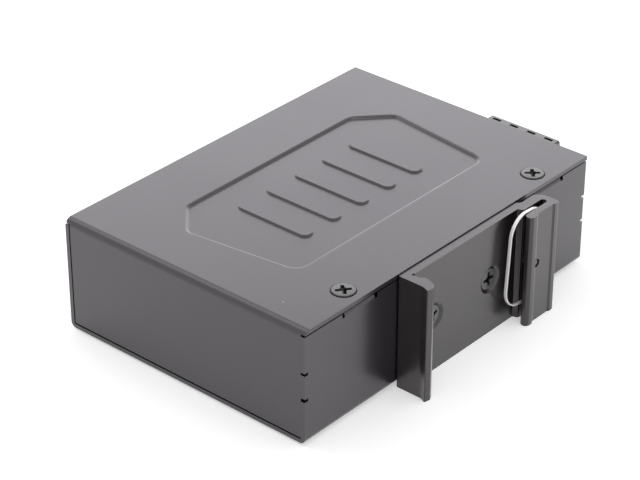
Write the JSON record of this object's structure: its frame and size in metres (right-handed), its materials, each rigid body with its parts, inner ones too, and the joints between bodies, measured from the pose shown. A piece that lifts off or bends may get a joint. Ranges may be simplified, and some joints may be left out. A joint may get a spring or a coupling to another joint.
{
  "type": "din rail ethernet switch",
  "caption": "Slim folded-steel switch box with a pressed cover, a row of network sockets, a pluggable supply terminal and a rail clip with a fixed hook and a spring ring.",
  "frame": {"origin": "centre of the 35 mm rail's seat on the clip: the rail's centre line in X, the seat face in Y, the middle of the clip's length in Z", "axes": "lying on its large plain side as pictured; +Z out of the pressed cover, +X across the rail from the closed end to the terminal end (up when mounted), +Y from the rail to the socket face"},
  "size_m": [0.1085, 0.0785, 0.0286],
  "materials": {
    "powder_coat": "fine satin powder coat",
    "anodised": "black anodised, satin",
    "spring_steel": "bright strip",
    "pin_metal": "black anodised",
    "black_screw": "black zinc",
    "plated_steel": "zinc plated",
    "board": "solder mask",
    "shield": "nickel plated sheet",
    "socket_plastic": "moulded",
    "gold": "gold flash",
    "clear_plastic": "clear",
    "component_plastic": "moulded",
    "can_metal": "drawn can",
    "terminal_plastic": "moulded",
    "tinned_pin": "tinned"
  },
  "bodies": {
    "housing": {"base_shell": "powder_coat", "cover": "powder_coat", "din_clip": "anodised", "spring_pin": "pin_metal", "cover_screw_1": "black_screw", "cover_screw_2": "black_screw", "clip_screw_1": "black_screw", "clip_screw_2": "black_screw", "cover_nut_1": "plated_steel", "cover_nut_2": "plated_steel", "clip_nut_1": "plated_steel", "clip_nut_2": "plated_steel", "board_standoffs": "plated_steel", "board_screws": "plated_steel", "circuit_board": "board", "jack_shield_1": "shield", "jack_shield_2": "shield", "jack_shield_3": "shield", "jack_shield_4": "shield", "jack_shield_5": "shield", "jack_body_1": "socket_plastic", "jack_body_2": "socket_plastic", "jack_body_3": "socket_plastic", "jack_body_4": "socket_plastic", "jack_body_5": "socket_plastic", "jack_contacts_1": "gold", "jack_contacts_2": "gold", "jack_contacts_3": "gold", "jack_contacts_4": "gold", "jack_contacts_5": "gold", "light_pipe": "clear_plastic", "status_lamps": "clear_plastic", "switch_chip": "component_plastic", "input_diode": "component_plastic", "input_fuse": "component_plastic", "voltage_regulator": "component_plastic", "power_inductor": "component_plastic", "magnetics_1": "component_plastic", "magnetics_2": "component_plastic", "magnetics_3": "component_plastic", "magnetics_4": "component_plastic", "magnetics_5": "component_plastic", "crystal": "can_metal", "capacitor_1": "can_metal", "capacitor_2": "can_metal", "terminal_header": "terminal_plastic", "terminal_plug": "terminal_plastic", "header_pins": "tinned_pin", "plug_screws": "plated_steel", "plug_clamps": "plated_steel"},
    "spring": {"rail_spring": "spring_steel"}
  },
  "joints": [
    {"name": "spring_squeeze", "type": "slide", "parent": "housing", "child": "spring", "axis": [1, 0, 0], "range_m": [0, 0.003], "stiffness_N_per_m": 1500, "deforming": ["rail_spring"]}
  ]
}
